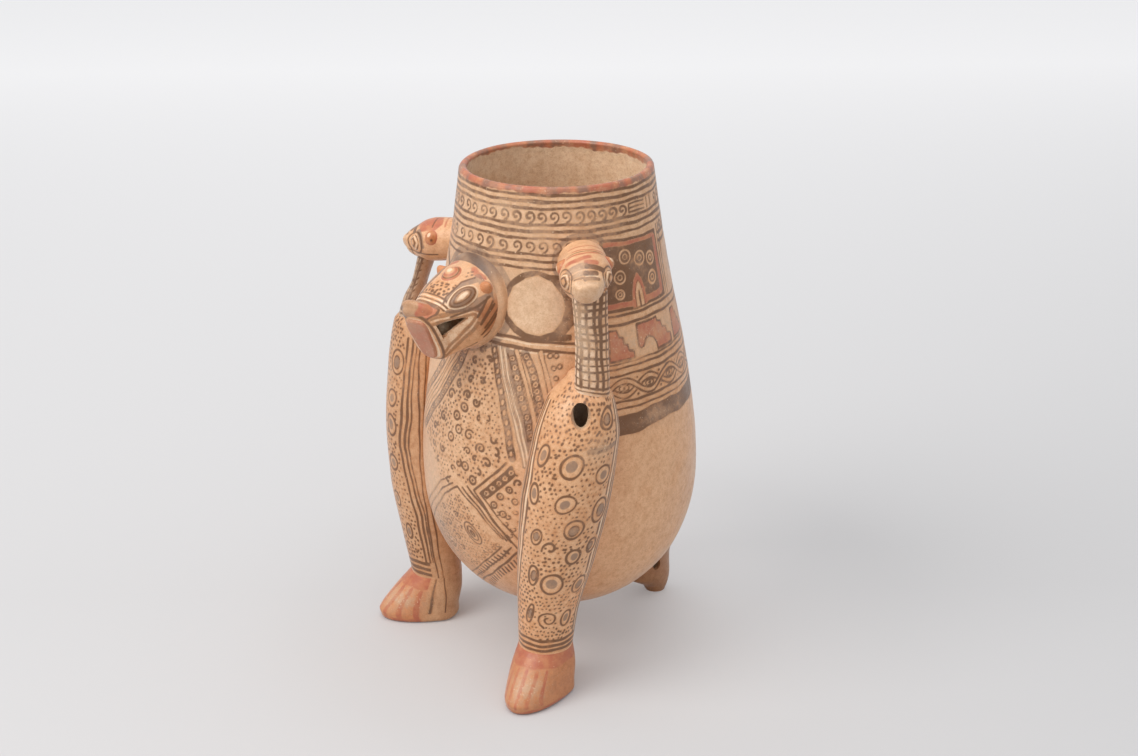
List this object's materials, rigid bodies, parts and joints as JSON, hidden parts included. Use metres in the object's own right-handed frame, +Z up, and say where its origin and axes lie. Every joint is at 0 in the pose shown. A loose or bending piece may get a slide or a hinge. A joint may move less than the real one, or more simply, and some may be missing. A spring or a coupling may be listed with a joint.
{
  "type": "zoomorphic vessel",
  "caption": "Tripod effigy jar of slip-painted earthenware: pear-shaped jar with a hollow animal head, arms topped by small heads, and hollow rattle legs holding loose pellets.",
  "frame": {"origin": "middle of the vessel's footprint box, on the floor", "axes": "+Z up, the animal looks along -Y, its left side is on +X"},
  "size_m": [0.2182, 0.217, 0.33],
  "materials": {
    "buff_slip": "burnished buff slip with painted lines",
    "red_slip": "burnished red slip",
    "orange_slip": "burnished orange slip",
    "grey_slip": "worn grey-brown slip",
    "raw_clay": "unslipped fired clay"
  },
  "bodies": {
    "vessel": {"base_bowl": "buff_slip", "belly_wall": "buff_slip", "shoulder_wall": "buff_slip", "neck_collar": "buff_slip", "rim_lip": "red_slip", "left_leg": "buff_slip", "left_foot": "red_slip", "left_arm_head": "buff_slip", "left_arm_front_eye": "grey_slip", "left_arm_back_eye": "grey_slip", "left_arm_front_ear": "orange_slip", "left_arm_back_ear": "orange_slip", "left_arm_strut": "buff_slip", "right_leg": "buff_slip", "right_foot": "red_slip", "right_arm_head": "buff_slip", "right_arm_front_eye": "grey_slip", "right_arm_back_eye": "grey_slip", "right_arm_front_ear": "orange_slip", "right_arm_back_ear": "orange_slip", "right_arm_strut": "buff_slip", "tail_leg": "red_slip", "head": "buff_slip", "head_collar": "grey_slip", "left_eye": "grey_slip", "right_eye": "grey_slip", "left_ear": "orange_slip", "right_ear": "orange_slip", "nose": "red_slip", "tongue": "red_slip"},
    "left_leg_pellet_1": {"left_leg_pellet_1": "raw_clay"},
    "left_leg_pellet_2": {"left_leg_pellet_2": "raw_clay"},
    "left_leg_pellet_3": {"left_leg_pellet_3": "raw_clay"},
    "right_leg_pellet_1": {"right_leg_pellet_1": "raw_clay"},
    "right_leg_pellet_2": {"right_leg_pellet_2": "raw_clay"},
    "right_leg_pellet_3": {"right_leg_pellet_3": "raw_clay"},
    "tail_pellet": {"tail_pellet": "raw_clay"},
    "head_pellet": {"head_pellet": "raw_clay"}
  },
  "joints": [
    {"name": "left_leg_pellet_1_slide", "type": "slide", "parent": "vessel", "child": "left_leg_pellet_1", "axis": [0.227, 0.0035, 0.9739], "range_m": [0, 0.08]},
    {"name": "left_leg_pellet_2_slide", "type": "slide", "parent": "vessel", "child": "left_leg_pellet_2", "axis": [0.227, 0.0035, 0.9739], "range_m": [0, 0.08]},
    {"name": "left_leg_pellet_3_slide", "type": "slide", "parent": "vessel", "child": "left_leg_pellet_3", "axis": [0.227, 0.0035, 0.9739], "range_m": [0, 0.08]},
    {"name": "right_leg_pellet_1_slide", "type": "slide", "parent": "vessel", "child": "right_leg_pellet_1", "axis": [-0.227, 0.0035, 0.9739], "range_m": [0, 0.08]},
    {"name": "right_leg_pellet_2_slide", "type": "slide", "parent": "vessel", "child": "right_leg_pellet_2", "axis": [-0.227, 0.0035, 0.9739], "range_m": [0, 0.08]},
    {"name": "right_leg_pellet_3_slide", "type": "slide", "parent": "vessel", "child": "right_leg_pellet_3", "axis": [-0.227, 0.0035, 0.9739], "range_m": [0, 0.08]},
    {"name": "head_pellet_slide", "type": "slide", "parent": "vessel", "child": "head_pellet", "axis": [-0.079, 0.9029, 0.4226], "range_m": [0, 0.012]},
    {"name": "tail_pellet_slide", "type": "slide", "parent": "vessel", "child": "tail_pellet", "axis": [0, 0, 1], "range_m": [0, 0.03]}
  ]
}
